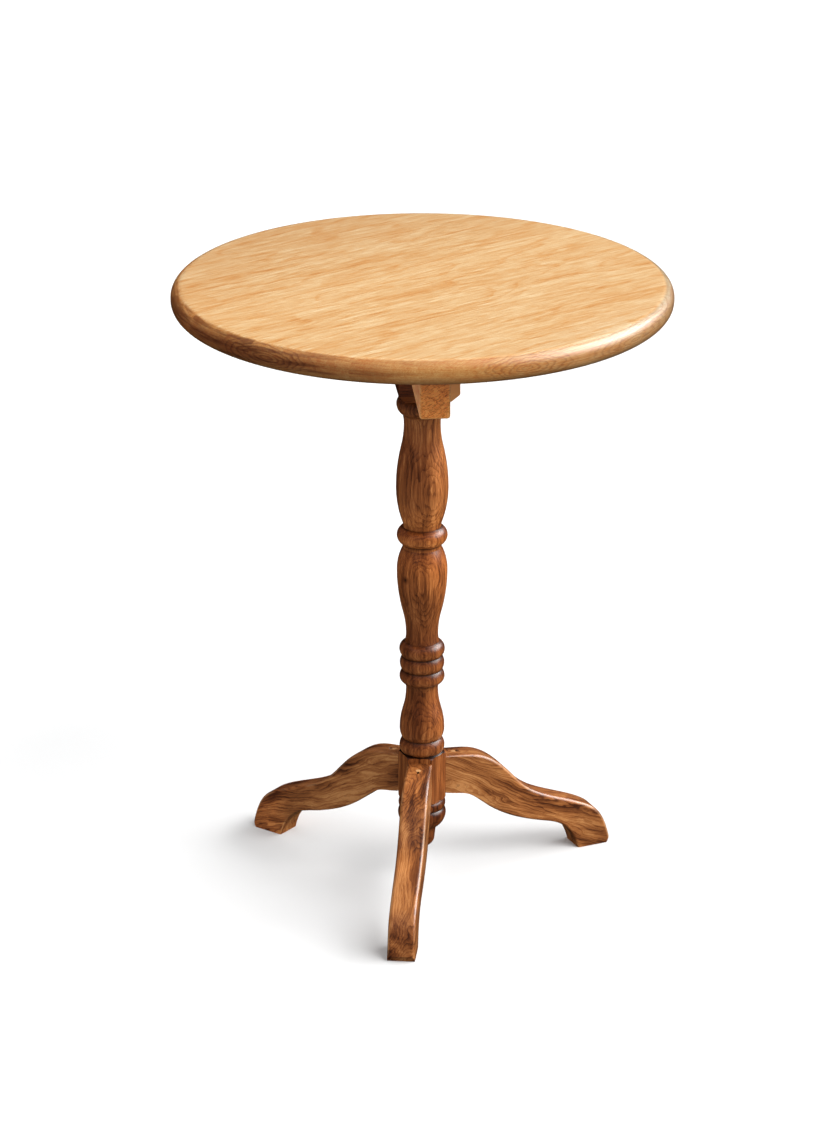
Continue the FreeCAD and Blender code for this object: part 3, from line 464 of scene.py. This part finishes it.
# the low vase is paler at its sides, painted light, and dark down its front there
off_middle = across.absolute()
painted_light_low_sides = off_middle.spread(0.005, 0.013) * level.within(*LOW_VASE_SIDES)
low_front = off_middle.spread(0.006, 0.002) * level.within(*LOW_VASE_FRONT)
colour = colour.tinted((1.3, 1.36, 1.38), painted_light_low_sides)
post.colour = colour.tinted((0.72, 0.66, 0.62), low_front)
fit(post, "post")
drop = wood("drop_wood", UP, (1, 0, 0), (-26, 30), DARK, 9.1)
# the drop's wood is darkened all over, painted shade
drop.colour = drop.colour.tinted((0.6, 0.5, 0.4), 0.85)
fit(drop, "drop_finial")

# Legs. Three legs sawn from thick plank of a more figured dark wood, their arrises rounded, each
# slid by a dovetail key into the block and held by one nail, whose hole is filled.
FIGURED = {
    **DARK,
    "tones": [(0.05, shade(64, 30, 11)), (0.3, shade(110, 61, 27)), (0.5, shade(144, 87, 43)),
              (0.7, shade(166, 107, 57)), (0.92, shade(192, 134, 79))],
    "bend": 0.006, "bend_mm": 50.0, "curl": 0.02, "curl_mm": 10.0,
    # a lighter painted shade on shoulders that look up
    "ring_mm": 2.4, "ring_weight": 0.3, "shoulder": (0.8, 0.72, 0.68),
    "band": (0.011, 0.06), "band_weight": 1.9, "strand": (0.022, 0.34), "strand_weight": 1.1,
    "fibre": (0.05, 1.6),
}
LEG_SLOPE = math.radians(-22)
LEG_HEART = (55, 40)
WEAR_AND_HIGHLIGHT = shade(224, 178, 130)
FILLER = shade(206, 158, 108)
FILLER_MM = (4.4, 3.6)
NAILED_FROM_MM = 20
NAIL_HEAD_MM = 3
MARK_FADE_OUT, MARK_FADE_IN = 10, 14
# Each leg's bearing in degrees, seed, how far its arrises are worn and lit by a painted highlight,
# and the marks in its figure: from and to along the leg, middle and half width across it, in
# millimetres, tint and weight.
# The front leg has a dark feather between pale stretches, and a dark flame at its toe.
LEGS = {
    "leg_front": (-95.7, 0.7, 0.35, [
        (30, 90, 0, 9, (1.4, 1.45, 1.45), 0.9),
        (84, 110, 0, 4, (0.5, 0.42, 0.38), 0.9),
        (120, 146, 0, 12, (1.25, 1.28, 1.28), 0.9),
        (193, 206, -3, 11, (0.72, 0.66, 0.62), 0.8),
    ]),
    "leg_right": (24.3, 2.9, 0.36, [(90, 170, 0, 18, (1.2, 1.2, 1.2), 0.8)]),
    "leg_left": (144.3, 4.4, 0.2, [(172, 216, 0, 18, (1.6, 1.5, 1.4), 0.9)]),
}
for name, (bearing, seed, wear_and_highlight, marks) in LEGS.items():
    outward = Vector((math.cos(math.radians(bearing)), math.sin(math.radians(bearing)), 0))
    side = (-outward.y, outward.x, 0)
    fibre = outward * math.cos(LEG_SLOPE) + Vector(UP) * math.sin(LEG_SLOPE)
    leg = wood(f"{name}_wood", fibre, side, LEG_HEART, FIGURED, seed)
    place = leg.place.scaled(MM)
    # the rounded arrises are pale in the photograph, partly worn and smooth polish and partly a
    # painted highlight
    arris = leg.normal.dot(side).absolute().within(0.4, 0.65, 0.85, 0.97)
    worn_and_highlit = place.scaled(0.03).noise().spread(0.42, 0.62)
    colour = leg.colour.mixed(WEAR_AND_HIGHLIGHT, arris * worn_and_highlit * wear_and_highlight)
    leg.rough = leg.rough - arris * 0.12
    # filler round the sunk head of the nail
    nails = [vertex.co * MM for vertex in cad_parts["leg_nails"].data.vertices]
    nail = [corner for corner in nails if corner.dot(outward) > NAILED_FROM_MM]
    summit = max(nail, key=lambda corner: corner.z)
    nail_head = [corner for corner in nail if (corner - summit).length < NAIL_HEAD_MM]
    around = place.distance(sum(nail_head, Vector()) / len(nail_head))
    colour = colour.mixed(FILLER, around.spread(*FILLER_MM) * 0.6)
    # marks in the figure, with wandering edges, the dark ones feathered
    moved = place.vector("ADD", place.scaled(0.05).drift(3.0, 0.6, 26))
    reach, offset = moved.dot(outward), moved.dot(side)
    feather = place.point(reach * 0.02, offset * 0.5, seed + 5).noise(3.0, 0.6).spread(0.24, 0.48)
    for start, end, middle, half, tint, weight in marks:
        mark = (reach.within(start - MARK_FADE_OUT, start + MARK_FADE_IN,
                             end - MARK_FADE_OUT, end + MARK_FADE_IN)
                * (offset - middle).absolute().spread(half + 4, half - 3))
        if tint[0] < 1:
            mark = mark * feather
        colour = colour.tinted(tint, mark * weight)
    leg.colour = colour
    fit(leg, name)

# Screws and nails. Bright steel wood screws hold the boards and the head block to the bearer. A
# steel nail, rusted dark and sunk in the shoulder of each leg, holds it to the block.


def steel(name, metallic, grain, tones, smoothest, uneven):
    """Steel whose colour and roughness vary with a fine grain: its detail, roughness and scale."""
    material = bpy.data.materials.new(name)
    material.use_nodes = True
    tree = material.node_tree
    inputs = tree.nodes["Principled BSDF"].inputs
    inputs["Metallic"].default_value = metallic
    bloom = Wire(tree).add("ShaderNodeTexCoord", {}, {}, 3).noise(*grain)
    tree.links.new(bloom.ramp(tones).socket, inputs["Base Color"])
    tree.links.new((smoothest + bloom * uneven).socket, inputs["Roughness"])
    return material


bright = steel("screw_steel", 1, (3.0, 0.6, 900.0),
               [(0.3, shade(120, 118, 114)), (0.7, shade(176, 174, 170))], 0.3, 0.2)
rusted = steel("nail_steel", 0.6, (4.0, 0.65, 700.0),
               [(0.35, shade(38, 26, 20)), (0.6, shade(74, 48, 32)), (0.75, shade(96, 84, 74))],
               0.5, 0.3)
dress("top_screws", bright)
dress("head_screws", bright)
dress("leg_nails", rusted)
